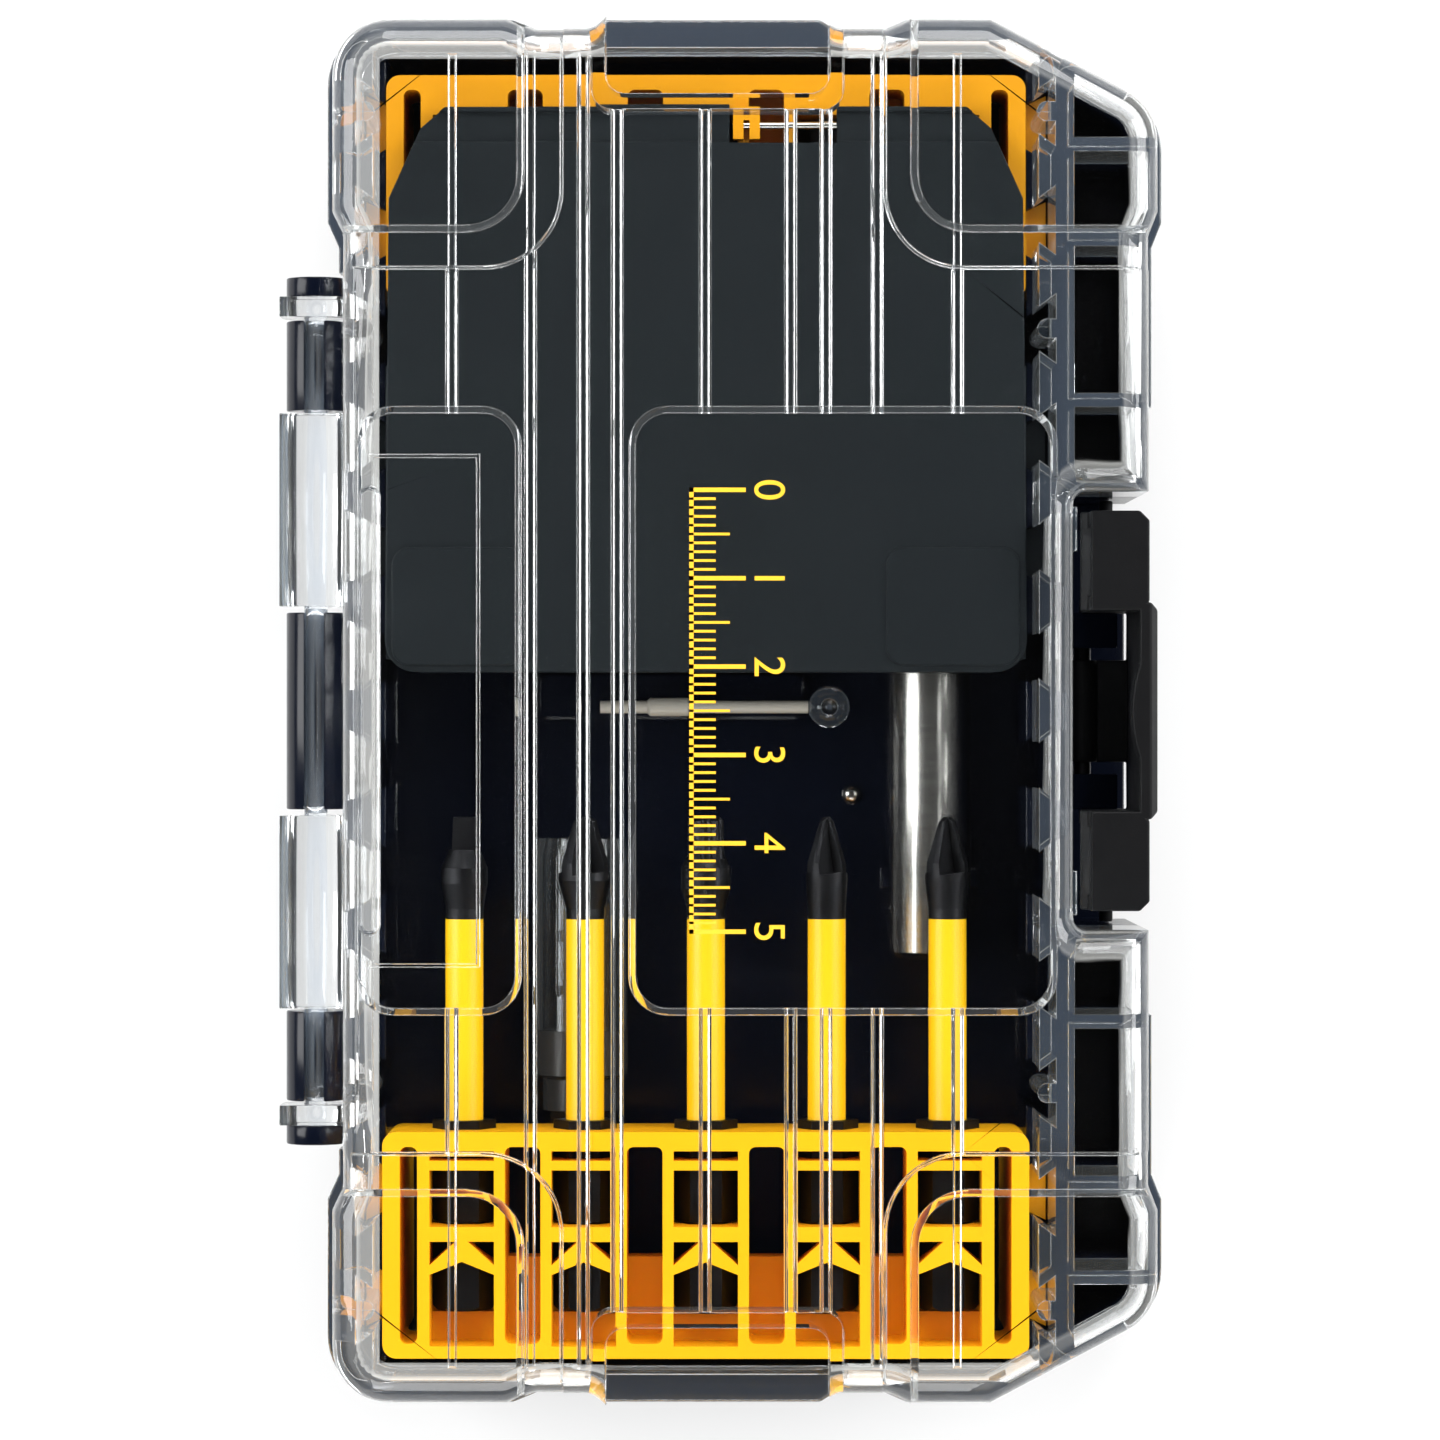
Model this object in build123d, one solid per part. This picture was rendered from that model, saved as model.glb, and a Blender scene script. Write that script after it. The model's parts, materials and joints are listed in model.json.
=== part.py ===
"""Screwdriver bit set: a hinged, latched case with a clear lid, two bit bars, bits and a bit holder.

Millimetres. X runs from the hinge to the latch, Y along the hinge and Z up out of the lid.
The origin is the middle of the case's footprint, on the surface that it lies on.
"""

from build123d import *
import math
import os

# Case, seen from above
HALF_LENGTH = 80.1
RIGHT_X = 51.05
LEFT_PAD_X = -45.6
LEFT_WAIST_X = -44.3
RIGHT_WAIST_X = 49.9
PAD_LENGTH = 23.5
WAIST_SLOPE = 2.9
CORNER_R = 7.8
END_DIP = 1.3
END_DIPS = ((-24.1, -20.9, -15.1, -13.6), (11.5, 13.5, 18.5, 21.5))
CHAMFER_X = 31.0
CHAMFER_DROP = 10.6
BLEND_R = 1.2

# Case, walls and heights
HEIGHT = 41.0
SEAM_Z = 23.0
SEAM_GAP = 0.1
FLOOR = 2.0
ROOF = 1.8
WALL = 1.6
RIM_OVERHANG = 1.3
RIM_THICK = 1.8
BOTTOM_ROUND = 2.0
ROOF_ROUND = 3.6
UNDERSIDE_RECESS = 0.5
UNDERSIDE_MARGIN = 11.0
RIM_END_Y = 35.2

# Main compartment and the dovetail rails on its long walls
BAY_X = 40.0
INNER_WALL = 2.0
HINGE_WALL = 1.5
COMPARTMENT_R = 4.0
TOOTH_PITCH = 12.37
TOOTH_ROOT = 4.3
TOOTH_TIP = 7.1
TOOTH_DEPTH = 2.5
LID_TOOTH_DEPTH = 1.9
RAIL_TOP_Z = 22.0

# Cells between the inner wall and the outer wall on the latch side
CELL_RIB_STEPS = (0.0, 18.3, 29.1)
CELL_RIB = 1.5

# Latch bay
BAY_HALF = 24.9
BAY_CORNER_R = 1.5
CATCH_REACH = 1.2
CATCH_Y = (18.5, 23.6)
CATCH_THICK = 1.7
BAY_FLOOR_X = (46.6, 48.4)

# Lid top
CORNER_STEP = 0.9
CORNER_LEFT_X = (-17.9, -22.3)
CORNER_RIGHT_X = (18.4, 21.5)
CORNER_FROM_END = (30.1, 25.9)
CORNER_STEP_R = (9.0, 6.5)
CORNER_SLOPE = (0.35, 0.85)
PANEL_HALF = 34.4
PANEL_LEFT_X = -22.6
PANEL_RIGHT_X = -10.4
PANEL_EDGE = 1.6
PANEL_DEPTH = 0.8
PANEL_SLOPE = 0.7
PANEL_R = 4.4
NOTCH_X = (-13.1, 12.3)
NOTCH_FROM_END = 10.3
NOTCH_TOP_Z = 34.0
NOTCH_R = 2.3
RIB_WIDTH = 0.9
RIB_DEPTH = 1.3
RIB_FLARE = 0.25
RIB_TIP_ROUND = 0.15
LONG_RIBS_X = (-21.6, -15.6, -11.75)
SHORT_RIBS_X = (-30.5, -1.8, 7.9, 11.9, 17.7, 26.8)
RIB_FROM_END = 5.6
BEAD_X = -39.8
BEAD_R = 1.2
BEAD_HALF = 25.4
BEAD_ROUND = 0.6
LABEL_LINE = 0.35
LABEL_X = -27.3
LABEL_HALF = 29.0
TONGUE_R = 1.05
TONGUE_GAPS = (3, 5)
TONGUE_PROUD = 2.1
TONGUE_REACH = 2.0
TONGUE_CLEAR = 0.2

# Hinge
ROD_R = 1.35
ROD_CLEAR = 0.08
BLOCK_R = 3.95
CLIP_R = 3.4
CLIP_SLOT = 2.3
CLIP_WEB = 5.6
CLIP_DROP = 0.2
HINGE_CLEAR = 0.15
MIDDLE_CLIP_HALF = 11.4
SIDE_CLIP_Y = (34.8, 45.2)
BLOCK_Y = (12.1, 34.4)
END_KNUCKLE_Y = (45.6, 47.9)
CAP_THICK = 2.2
HINGE_Z = SEAM_Z

# Latch
PIVOT_X = 42.6
PIVOT_Z = 14.0
PIVOT_PIN_R = 1.0
PIVOT_CLEAR = 0.06
PIVOT_BARREL_R = 1.75
PIVOT_BARREL_HALF = 6.0
LUG_Y = (7.4, 11.5)
LUG_REACH = 4.0
LUG_ROOT = 5.0
LUG_TIP = (1.5, 2.0)
LATCH_TOP_Z = 34.0
LATCH_DROP = 1.8
LATCH_WALL = 1.7
LATCH_BLOCK_X = (42.3, 49.0)
LATCH_BLOCK_Y = (11.5, 22.9)
LATCH_BLOCK_CHAMFER = 1.1
PULL_X = (47.9, 50.0)
PULL_HALF = 12.4
PULL_TAPER = 1.5
PULL_EASE = 0.8
PULL_FOOT = 4.0
GRIP_X = (47.0, 49.2)
GRIP_HALF = 5.9
GRIP_DEPTH = 5.0
GRIP_SUNK = 0.35
GRIP_FACE = 0.8
ARM_RISE = 0.3
LIP_GAP = 0.3
LIP_THICK = 1.8
LIP_CLEAR_Z = 0.3
NUB_X = 45.3
NUB_R = 0.8
NUB_Z = 15.0

# Bits
HEX = 6.35
HEX_CLEAR = 0.12
GROOVE_FROM_END = 9.6
GROOVE_R = 3.0
GROOVE_WIDTH = 2.6
BIT_PITCH = 14.0
BIT_COUNT = 5
BIT_LENGTH = 57.0
BIT_TIP = 11.8
BIT_SLEEVE = 23.2
BIT_CORE_R = 1.6
SLEEVE_R = 2.2
SLEEVE_CLEAR = 0.05
BIT_Z = 24.5
INSERT_LENGTH = 25.0
INSERT_TIP = 6.5
INSERT_Z = 17.0

# Bit bars
BAR_CLEAR = 0.15
TAB_CLEAR = 0.12
TAB_FOOT_CLEAR = 0.2
BAR_LENGTH = 26.0
LOWER_BAR_BACK_GAP = 1.7
UPPER_BAR_BACK_GAP = 2.2
BIT_END_GAP = 0.3
BAR_ROUND = 1.6
BAR_END_WALL = 2.0
BAR_HALF_HEIGHT = 6.8
SOCKET_END_WALL = 4.7
CELL_WIDTH = 7.4
SLOT_WIDTH = 4.1
SLOT_R = 0.8
END_SLOT_WIDTH = 2.0
BAR_MARGIN = 1.7
SLOT_THROUGH = 15.2
SLOT_FLOOR = 4.0
SMALL_WINDOW = (2.2, 1.1)
SQUARE_WINDOW = (4.4, 6.5)
CHEVRON_Y = 11.5
CHEVRON_BAR = 1.1
CHEVRON_TIP = 0.7
HOUSE_EAVES_Y = 16.4
HOUSE_APEX_Y = 14.9
HOUSE_END_WALL = (1.4, 4.6)
TAB_TOP_Z = 20.4

# Cover over the upper bar
COVER_FRONT_Y = 4.5
BAND_SHOWN = 3.9
COVER_THICK = 2.0
COVER_GAP = 0.3
COVER_CORNERS = ((6.9, 0.0), (4.1, 2.4), (0.4, 10.6))
COVER_R = 3.5
COVER_PAD = 0.4
COVER_PAD_SIZE = (16.2, 14.4)
COVER_PAD_EDGE = 0.8
COVER_PAD_R = 2.0
COVER_WALL_BEFORE_BAR = 7.8
COVER_WALL = 1.5
COVER_FRONT_DROP = 8.0
BAND_HALF = 35.0
BAND_Y = (0.6, 4.0)
BAND_DEPTH = 0.6
COVER_SLOT_FROM_MIDDLE = (2.75, 15.15)
COVER_SLOT = 4.2
FINGERS_FROM_MIDDLE = ((3.15, 4.35), (5.05, 6.25))
CLIP_FINGER_LENGTH = 2.2
CLIP_BRIDGE = 1.3
CLIP_CLEAR = 0.2
CLIP_TOP = 1.3
CLIP_PIN_R = 0.4
CLIP_PIN_RISE = 0.8
CLIP_PIN_BITE = 0.8

# Bit holder
HOLDER_X = 25.0
HOLDER_R = 4.75
HOLDER_BEFORE_BAR = 5.2
HOLDER_BARREL = 45.0
HOLDER_SOCKET = 12.0
HOLDER_SHANK = 27.0
HOLDER_GRIP = 6.0
MAGNET_R = 2.5
MAGNET_LENGTH = 3.0

# Drive guide
GUIDE_X = -16.6
GUIDE_R = 5.5
GUIDE_WALL = 0.9
GUIDE_BEFORE_BAR = 33.2
GUIDE_TUBE = 22.7
GUIDE_HUB = 5.8
GUIDE_COLLAR = 3.7
GUIDE_COLLAR_R = 4.6
GUIDE_SHANK = 18.0
GUIDE_BORE_R = 1.6

# Cradles, floor shelf, pin and rivet
CRADLE_THICK = 2.0
CRADLE_CLEAR = 0.1
CRADLE_RISE = 0.4
CRADLE_WALL = 1.0
CRADLE_TOP = 0.35
HOLDER_CRADLE_STEPS = (9.4, 37.4)
GUIDE_CRADLE_STEPS = (6.9, 17.9)
SHELF_X = (-21.7, 9.8)
SHELF_WIDTH = 5.2
SHELF_Z = 5.0
SHELF_R = 1.0
PIN_R = 0.75
PIN_GRIP_R = 1.1
PIN_X = (-14.4, 10.4)
PIN_GRIP_X = (-8.8, -3.6)
PIN_BEFORE_COVER = 4.0
PIN_HEAD_R = 2.5
PIN_DIMPLE_R = 1.1
PIN_GRIP_EASE = 0.4
RIVET_X = 15.7
RIVET_BEFORE_COVER = 14.5
RIVET_R = 1.2
RIVET_HEIGHT = 0.9

# Worked out from the sizes above
HINGE_X = -RIGHT_X + BLOCK_R
WALL_LEFT_X = LEFT_WAIST_X + RIM_OVERHANG
INNER_LEFT_X = WALL_LEFT_X + HINGE_WALL
INNER_RIGHT_X = BAY_X - INNER_WALL
MIDDLE_X = (INNER_LEFT_X + INNER_RIGHT_X) / 2
INNER_HALF = (INNER_RIGHT_X - INNER_LEFT_X) / 2
BAR_HALF = INNER_HALF - TOOTH_DEPTH - BAR_CLEAR
PAD_Y = HALF_LENGTH - PAD_LENGTH
WAIST_Y = PAD_Y - WAIST_SLOPE
END_INNER_Y = HALF_LENGTH - END_DIP - RIM_OVERHANG - HINGE_WALL
LID_BOTTOM_Z = SEAM_Z + SEAM_GAP
ROOF_UNDER_Z = HEIGHT - ROOF
BAR_BACK_Y = END_INNER_Y - LOWER_BAR_BACK_GAP
BAR_FRONT_Y = BAR_BACK_Y - BAR_LENGTH
UPPER_BAR_BACK_Y = END_INNER_Y - UPPER_BAR_BACK_GAP
UPPER_BAR_FRONT_Y = UPPER_BAR_BACK_Y - BAR_LENGTH
UPPER_TOP_Z = INSERT_Z + BAR_HALF_HEIGHT
COVER_BACK_Y = UPPER_BAR_BACK_Y - BAND_SHOWN
COVER_Z = UPPER_TOP_Z + COVER_GAP
BIT_BACK_Y = BIT_END_GAP - (BAR_BACK_Y - SOCKET_END_WALL)
HOLDER_Z = FLOOR + CRADLE_RISE + CRADLE_CLEAR + HOLDER_R
GUIDE_Z = FLOOR + CRADLE_RISE + CRADLE_CLEAR + GUIDE_R
HOLDER_FRONT_Y = UPPER_BAR_FRONT_Y - HOLDER_BEFORE_BAR - HOLDER_SHANK - HOLDER_BARREL
GUIDE_FRONT_Y = GUIDE_BEFORE_BAR - BAR_FRONT_Y
PIN_Y = COVER_FRONT_Y - PIN_BEFORE_COVER
PIN_Z = SHELF_Z + PIN_GRIP_R
BIT_XS = [MIDDLE_X + BIT_PITCH * (i - (BIT_COUNT - 1) / 2) for i in range(BIT_COUNT)]
COVER_SLOT_X = [MIDDLE_X + step for step in COVER_SLOT_FROM_MIDDLE]
CLIP_FINGER_X = [(MIDDLE_X + start, MIDDLE_X + end) for start, end in FINGERS_FROM_MIDDLE]
CLIP_PIN_Y = COVER_BACK_Y - COVER_SLOT / 2
CLIP_PIN_Z = COVER_Z + CLIP_PIN_RISE
FAR = 3 * HALF_LENGTH
CUT = 1.0
BITE = 0.5
SINK = 0.1


def plate(outline, low, high):
    """Extrude a flat outline between two heights."""
    return extrude(Pos(0, 0, low) * outline, amount=high - low)


def rect(x0, x1, y0, y1, r=0):
    """A rectangle between two corners, with rounded corners."""
    face = Rectangle(x1 - x0, y1 - y0)
    if r:
        face = fillet(face.vertices(), r)
    return Pos((x0 + x1) / 2, (y0 + y1) / 2) * face


def side_profile(points):
    """A closed outline in X and Z, standing on the plane Y = 0."""
    return Plane.XZ * make_face(Polyline(*points, close=True))


def span_y(profile, y0, y1):
    """Extrude an outline that stands on Y = 0 from y0 to y1."""
    return Pos(0, y1, 0) * extrude(profile, amount=y1 - y0)


def disc_y(x, z, r):
    """A round outline in X and Z."""
    return Plane.XZ * Pos(x, z) * Circle(r)


def both_ends(shape):
    """A shape and its mirror image at the other end of the case."""
    return shape + mirror(shape, about=Plane.XZ)


def case_plan(inset):
    """The case from above, drawn inside its rim by a distance, with the latch bay cut in."""
    upper = [(LEFT_WAIST_X, WAIST_Y), (LEFT_PAD_X, PAD_Y), (LEFT_PAD_X, HALF_LENGTH)]
    for start, dip_start, dip_end, end in END_DIPS:
        upper += [(start, HALF_LENGTH), (dip_start, HALF_LENGTH - END_DIP)]
        upper += [(dip_end, HALF_LENGTH - END_DIP), (end, HALF_LENGTH)]
    upper += [(CHAMFER_X, HALF_LENGTH), (RIGHT_X, HALF_LENGTH - CHAMFER_DROP)]
    upper += [(RIGHT_X, PAD_Y), (RIGHT_WAIST_X, WAIST_Y)]
    lower = [(x, -y) for x, y in reversed(upper)]
    face = make_face(Polyline(*upper, *lower, close=True))
    big = [v for v in face.vertices() if v.X in (LEFT_PAD_X, RIGHT_X) and abs(v.Y) > PAD_Y + BITE]
    face = fillet(big, CORNER_R)
    dip_y = HALF_LENGTH - END_DIP - BITE
    middle = [v for v in face.vertices() if LEFT_PAD_X + CORNER_R + BITE < v.X < CHAMFER_X + BITE]
    face = fillet([v for v in middle if abs(v.Y) > dip_y], BLEND_R)
    if inset:
        face = offset(face, amount=-inset, kind=Kind.INTERSECTION)
    deeper = max(0, inset - RIM_OVERHANG)
    bay = rect(BAY_X - deeper, FAR, -BAY_HALF - deeper, BAY_HALF + deeper, BAY_CORNER_R)
    return face - bay


def rim_plan():
    """The rim's outline: the case plan without its overhang beside the hinge and the latch."""
    hinge_end = cap_end_y() + BITE
    hinge_side = rect(-FAR, WALL_LEFT_X, -hinge_end, hinge_end)
    latch_side = rect(RIGHT_WAIST_X - RIM_OVERHANG, FAR, -RIM_END_Y, RIM_END_Y)
    return case_plan(0) - hinge_side - latch_side


def cap_end_y():
    """How far along Y the hinge's end caps reach."""
    return END_KNUCKLE_Y[1] + HINGE_CLEAR + CAP_THICK


def compartment_plan():
    """The main compartment from above, its corners cut where the case is chamfered."""
    room = rect(INNER_LEFT_X, INNER_RIGHT_X, -END_INNER_Y, END_INNER_Y, COMPARTMENT_R)
    return room & case_plan(RIM_OVERHANG + HINGE_WALL)


def cells_plan():
    """The side cells from above: what is left beside the inner wall, less the cross ribs."""
    plan = case_plan(RIM_OVERHANG + WALL)
    cells = plan & rect(BAY_X, RIGHT_X, -HALF_LENGTH, HALF_LENGTH)
    for step in CELL_RIB_STEPS:
        y = RIM_END_Y + step
        for side in (-1, 1):
            cells -= rect(BAY_X - CUT, RIGHT_X, side * y - CELL_RIB / 2, side * y + CELL_RIB / 2)
    return cells


def tooth_plan(depth):
    """One dovetail tooth on the right-hand wall at Y = 0, wider at its tip."""
    back = INNER_RIGHT_X + INNER_WALL / 2
    tip = INNER_RIGHT_X - depth
    points = [(back, -TOOTH_ROOT / 2), (INNER_RIGHT_X, -TOOTH_ROOT / 2), (tip, -TOOTH_TIP / 2)]
    points += [(tip, TOOTH_TIP / 2), (INNER_RIGHT_X, TOOTH_ROOT / 2), (back, TOOTH_ROOT / 2)]
    return make_face(Polyline(*points, close=True))


def both_walls(shape):
    """A shape on the right-hand wall and its mirror image on the left-hand wall."""
    return shape + mirror(shape, about=Plane.YZ.offset(MIDDLE_X))


def rails(depth, low, high):
    """The dovetail teeth along both long walls of the compartment."""
    row = GridLocations(0, TOOTH_PITCH, 1, 2 * round(END_INNER_Y / TOOTH_PITCH) + 1)
    teeth = [place * tooth_plan(depth) for place in row]
    right = plate(Sketch() + teeth, low, high)
    room = rect(INNER_LEFT_X - SINK, INNER_RIGHT_X + SINK, -END_INNER_Y - SINK, END_INNER_Y + SINK)
    return both_walls(right) & plate(room & case_plan(RIM_OVERHANG + HINGE_WALL - SINK), low, high)


def gap_y(index):
    """The middle of a gap between two teeth, counted out from the middle of the rail."""
    return TOOTH_PITCH * (index + 0.5)


def gaps_within(y0, y1):
    """The gaps of the rail that lie wholly between two places along it."""
    half = (TOOTH_PITCH - TOOTH_ROOT) / 2
    count = int(END_INNER_Y / TOOTH_PITCH)
    return [index for index in range(count) if y0 + half <= gap_y(index) <= y1 - half]


def wall_tabs(y0, y1):
    """Tabs that slide down into every rail gap between two places, on both walls, to the floor."""
    neck = (TOOTH_PITCH - TOOTH_TIP) / 2 - TAB_CLEAR
    foot = (TOOTH_PITCH - TOOTH_ROOT) / 2 - TAB_CLEAR - TAB_FOOT_CLEAR
    start = MIDDLE_X + BAR_HALF
    end = INNER_RIGHT_X - TAB_CLEAR
    root = start - CUT
    points = [(root, -neck), (start, -neck), (end, -foot), (end, foot), (start, neck), (root, neck)]
    tab = plate(make_face(Polyline(*points, close=True)), FLOOR, TAB_TOP_Z)
    tabs = [both_walls(Pos(0, gap_y(index), 0) * tab) for index in gaps_within(y0, y1)]
    return Part() + tabs


def cradle(x, y, z, r):
    """A saddle on the floor for a round tool lying along Y."""
    half = r + CRADLE_WALL
    low = FLOOR - BITE
    top = z - r * CRADLE_TOP
    points = [(x - half, low), (x + half, low), (x + half, top), (x - half, top)]
    block = side_profile(points) - disc_y(x, z, r + CRADLE_CLEAR)
    return span_y(block, y - CRADLE_THICK / 2, y + CRADLE_THICK / 2)


def clip_profile(bored):
    """The base's hinge clip from its end: a ring open at the top, on a web from the wall."""
    web = [(HINGE_X, HINGE_Z - CLIP_R), (WALL_LEFT_X + BITE, HINGE_Z - CLIP_WEB)]
    web += [(WALL_LEFT_X + BITE, HINGE_Z - CLIP_DROP), (HINGE_X, HINGE_Z - CLIP_DROP)]
    profile = disc_y(HINGE_X, HINGE_Z, CLIP_R) + side_profile(web)
    if bored:
        slot = [(HINGE_X - CLIP_SLOT / 2, HINGE_Z), (HINGE_X + CLIP_SLOT / 2, HINGE_Z)]
        slot += [(HINGE_X + CLIP_SLOT / 2, HEIGHT), (HINGE_X - CLIP_SLOT / 2, HEIGHT)]
        profile = profile - disc_y(HINGE_X, HINGE_Z, ROD_R + ROD_CLEAR) - side_profile(slot)
    return profile


def base_hinge():
    """Three open clips that hold the lid's rod, and a closed cap at each end."""
    clip = clip_profile(True)
    cap_start = END_KNUCKLE_Y[1] + HINGE_CLEAR
    hinge = span_y(clip, -MIDDLE_CLIP_HALF, MIDDLE_CLIP_HALF)
    hinge += both_ends(span_y(clip, *SIDE_CLIP_Y))
    hinge += both_ends(span_y(clip_profile(False), cap_start, cap_end_y()))
    return hinge


def latch_lugs():
    """Two ears on the bay wall that carry the latch's pin."""
    tip = PIVOT_X + LUG_REACH
    tip_low, tip_high = PIVOT_Z - LUG_TIP[0], PIVOT_Z + LUG_TIP[1]
    root_low, root_high = PIVOT_Z - LUG_ROOT, PIVOT_Z + LUG_ROOT
    points = [(BAY_X - BITE, root_low), (BAY_X, root_low), (tip, tip_low)]
    points += [(tip, tip_high), (BAY_X, root_high), (BAY_X - BITE, root_high)]
    ear = side_profile(points) - disc_y(PIVOT_X, PIVOT_Z, PIVOT_PIN_R)
    return both_ends(span_y(ear, *LUG_Y))


def catch_ledges():
    """The small ledges on the lid's bay wall that the latch's lips close over."""
    ledge = plate(rect(BAY_X - BITE, BAY_X + CATCH_REACH, *CATCH_Y), LID_BOTTOM_Z, ledge_top())
    return both_ends(ledge)


def ledge_top():
    """How high the catch ledges stand."""
    return LID_BOTTOM_Z + RIM_THICK + CATCH_THICK


def bay_floor():
    """The base's floor under the latch, with a slot below each of the lid's catch ledges."""
    start = BAY_X - BOTTOM_ROUND
    side = BAY_HALF + BOTTOM_ROUND
    plan = rect(start, BAY_FLOOR_X[0], -side, side) + rect(start, BAY_FLOOR_X[1], -PULL_HALF, PULL_HALF)
    for y in (CATCH_Y, (-CATCH_Y[1], -CATCH_Y[0])):
        plan -= rect(BAY_X, BAY_X + CATCH_REACH, *y)
    return plate(plan, 0, FLOOR)


def base_shell():
    """The dark base: outer tub, rim, compartment with rails, side cells, hinge clips and lugs."""
    tub = plate(case_plan(RIM_OVERHANG), 0, SEAM_Z)
    tub = fillet(tub.faces().sort_by(Axis.Z)[0].outer_wire().edges(), BOTTOM_ROUND)
    shell = tub + plate(rim_plan(), SEAM_Z - RIM_THICK, SEAM_Z)
    shell -= plate(compartment_plan(), FLOOR, HEIGHT)
    shell -= plate(cells_plan(), FLOOR, HEIGHT)
    margin = UNDERSIDE_MARGIN
    field = rect(LEFT_PAD_X + margin, BAY_X - margin, margin - HALF_LENGTH, HALF_LENGTH - margin, CORNER_R)
    shell -= plate(field, -CUT, UNDERSIDE_RECESS)
    shell += rails(TOOTH_DEPTH, FLOOR - BITE, RAIL_TOP_Z)
    shell += base_hinge() + latch_lugs() + bay_floor()
    for step in HOLDER_CRADLE_STEPS:
        shell += cradle(HOLDER_X, HOLDER_FRONT_Y + step, HOLDER_Z, HOLDER_R)
    for step in GUIDE_CRADLE_STEPS:
        shell += cradle(GUIDE_X, GUIDE_FRONT_Y - step, GUIDE_Z, GUIDE_R)
    shelf_y = (PIN_Y - SHELF_WIDTH / 4, PIN_Y + SHELF_WIDTH * 3 / 4)
    shell += plate(rect(*SHELF_X, *shelf_y, SHELF_R), FLOOR - BITE, SHELF_Z)
    return shell


def sloped_cut(plan, floor_z, slope):
    """A cutter down to floor_z whose sides slope in over its last stretch, as moulded recesses do."""
    cutter = plate(plan, floor_z, HEIGHT + CUT)
    return chamfer(cutter.faces().group_by(Axis.Z)[0].edges(), slope)


def corner_plans(level):
    """The four stepped corners of the lid's top, at one of their two levels."""
    y = HALF_LENGTH - CORNER_FROM_END[level]
    left = rect(-FAR, CORNER_LEFT_X[level], y, FAR, CORNER_STEP_R[level])
    right = rect(CORNER_RIGHT_X[level], FAR, y, FAR, CORNER_STEP_R[level])
    return both_ends(left + right)


def notch_plan(grow):
    """The lowered block in the middle of each end of the lid."""
    y = HALF_LENGTH - NOTCH_FROM_END
    return both_ends(rect(NOTCH_X[0] - grow, NOTCH_X[1] + grow, y - grow, FAR, NOTCH_R))


def panel_plans():
    """The two shallow panels across the middle of the lid's top."""
    left = rect(WALL_LEFT_X + PANEL_EDGE, PANEL_LEFT_X, -PANEL_HALF, PANEL_HALF, PANEL_R)
    right = rect(PANEL_RIGHT_X, INNER_RIGHT_X, -PANEL_HALF, PANEL_HALF, PANEL_R)
    return left + right


def rib_profile(x):
    """A roof rib from its end: flared where it leaves the roof and eased at its tip."""
    root = ROOF_UNDER_Z
    tip = root - RIB_DEPTH
    half = RIB_WIDTH / 2
    right = [(half + RIB_FLARE, root + BITE), (half + RIB_FLARE, root), (half, root - RIB_FLARE)]
    right += [(half, tip + RIB_TIP_ROUND), (half - RIB_TIP_ROUND, tip)]
    left = [(-dx, z) for dx, z in reversed(right)]
    return side_profile([(x + dx, z) for dx, z in right + left])


def roof_ribs():
    """Stiffening ribs under the lid's roof: some run right through, some stop at the panels."""
    end = HALF_LENGTH - RIB_FROM_END
    ribs = Part()
    for x in LONG_RIBS_X:
        ribs += span_y(rib_profile(x), -end, end)
    for x in SHORT_RIBS_X:
        ribs += both_ends(span_y(rib_profile(x), PANEL_HALF - PANEL_SLOPE, end))
    return ribs


def lid_tongues():
    """Half-round posts on the lid's inner walls that drop into gaps of the base's rails."""
    posts = Part()
    for index in TONGUE_GAPS:
        low = SEAM_Z - (TONGUE_REACH if index == TONGUE_GAPS[0] else -TONGUE_CLEAR)
        x = INNER_RIGHT_X - TONGUE_PROUD + TONGUE_R
        y0 = gap_y(index) - TONGUE_R
        y1 = gap_y(index) + TONGUE_R
        post = Pos(x, gap_y(index)) * Circle(TONGUE_R) + rect(x, INNER_RIGHT_X, y0, y1)
        post = post & rect(x - TONGUE_R, INNER_RIGHT_X - TONGUE_CLEAR, y0, y1)
        foot = rect(x, INNER_RIGHT_X + BITE / 2, y0, y1)
        both = plate(post, low, ROOF_UNDER_Z) + plate(foot, LID_BOTTOM_Z + BITE, ROOF_UNDER_Z)
        posts += both_ends(both_walls(both))
    return posts


def lid_hinge():
    """The lid's side of the hinge: long blocks, thin end knuckles and the rod between them."""
    inner = WALL_LEFT_X + BITE
    square = [(HINGE_X - BLOCK_R, HINGE_Z), (inner, HINGE_Z)]
    square += [(inner, HINGE_Z + BLOCK_R), (HINGE_X - BLOCK_R, HINGE_Z + BLOCK_R)]
    base_side = [(WALL_LEFT_X, HINGE_Z - CUT), (WALL_LEFT_X + CUT, HINGE_Z - CUT)]
    base_side += [(WALL_LEFT_X + CUT, LID_BOTTOM_Z), (WALL_LEFT_X, LID_BOTTOM_Z)]
    profile = disc_y(HINGE_X, HINGE_Z, BLOCK_R) + side_profile(square) - side_profile(base_side)
    blocks = both_ends(span_y(profile, *BLOCK_Y)) + both_ends(span_y(profile, *END_KNUCKLE_Y))
    return blocks + span_y(disc_y(HINGE_X, HINGE_Z, ROD_R), -END_KNUCKLE_Y[1], END_KNUCKLE_Y[1])


def lid_bead():
    """The half-round bead beside the hinge, standing up from the left-hand panel to the roof's height."""
    low = HEIGHT - PANEL_DEPTH
    bar = SlotOverall(2 * BEAD_HALF, 2 * BEAD_R, rotation=90)
    bead = plate(Pos(BEAD_X, 0) * bar, low - BITE, HEIGHT)
    return fillet(bead.faces().sort_by(Axis.Z)[-1].edges(), BEAD_ROUND)


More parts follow.
